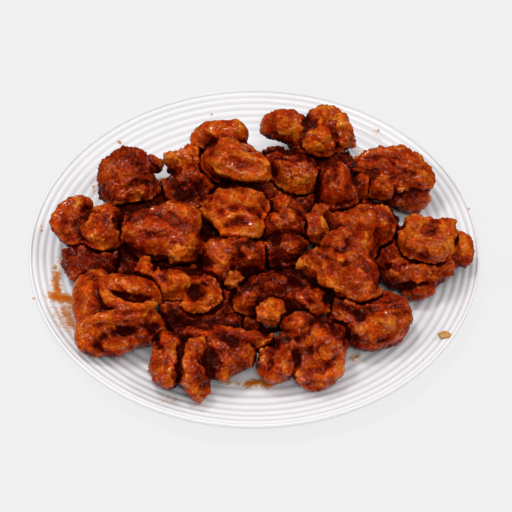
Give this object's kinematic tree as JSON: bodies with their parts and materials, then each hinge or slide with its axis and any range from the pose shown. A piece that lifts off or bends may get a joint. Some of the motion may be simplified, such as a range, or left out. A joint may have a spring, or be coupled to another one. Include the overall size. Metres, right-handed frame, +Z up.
{
  "type": "sauced fried chicken on a round plate",
  "caption": "Boned fried chicken pieces in a glossy red-brown sauce, heaped in a loose single layer on a round white plate with a ribbed rim.",
  "frame": {"origin": "on the table under the middle of the plate", "axes": "+Z up out of the plate; -Y towards the eater, whose view the picture shows; +X to that viewer's right"},
  "size_m": [0.27, 0.27, 0.0517],
  "materials": {
    "plate_glaze": "glossy white glaze",
    "sauce_bright": "glossy orange-brown sauce over fried crust",
    "sauce_mid": "glossy red-brown sauce over fried crust",
    "sauce_dark": "glossy dark red-brown sauce over fried crust"
  },
  "bodies": {
    "root": {"plate": "plate_glaze", "chicken_low_front": "sauce_dark", "chicken_low_middle": "sauce_dark", "chicken_low_left": "sauce_dark", "chicken_low_back": "sauce_dark", "chicken_low_back_right": "sauce_dark", "chicken_low_right": "sauce_dark", "chicken_low_centre": "sauce_dark", "chicken_right_cap": "sauce_bright", "chicken_big_centre": "sauce_bright", "chicken_folded_back": "sauce_bright", "chicken_mid_fold": "sauce_bright", "chicken_broad_slab": "sauce_bright", "chicken_twin_lobes": "sauce_bright", "chicken_veined_slab": "sauce_mid", "chicken_left_trio": "sauce_mid", "chicken_ring": "sauce_mid", "chicken_curled_skin": "sauce_bright", "chicken_front_left_fold": "sauce_mid", "chicken_front_right_curl": "sauce_bright", "chicken_front_mid": "sauce_bright", "chicken_striated_oval": "sauce_mid", "chicken_right_base": "sauce_mid", "chicken_grainy_block": "sauce_mid", "chicken_stub": "sauce_mid", "chicken_centre_left_crag": "sauce_bright", "chicken_glossy_hump": "sauce_mid", "chicken_round_knob": "sauce_mid", "chicken_centre_crag": "sauce_dark", "chicken_back_left_crag": "sauce_mid", "chicken_left_under": "sauce_dark"}
  },
  "joints": []
}
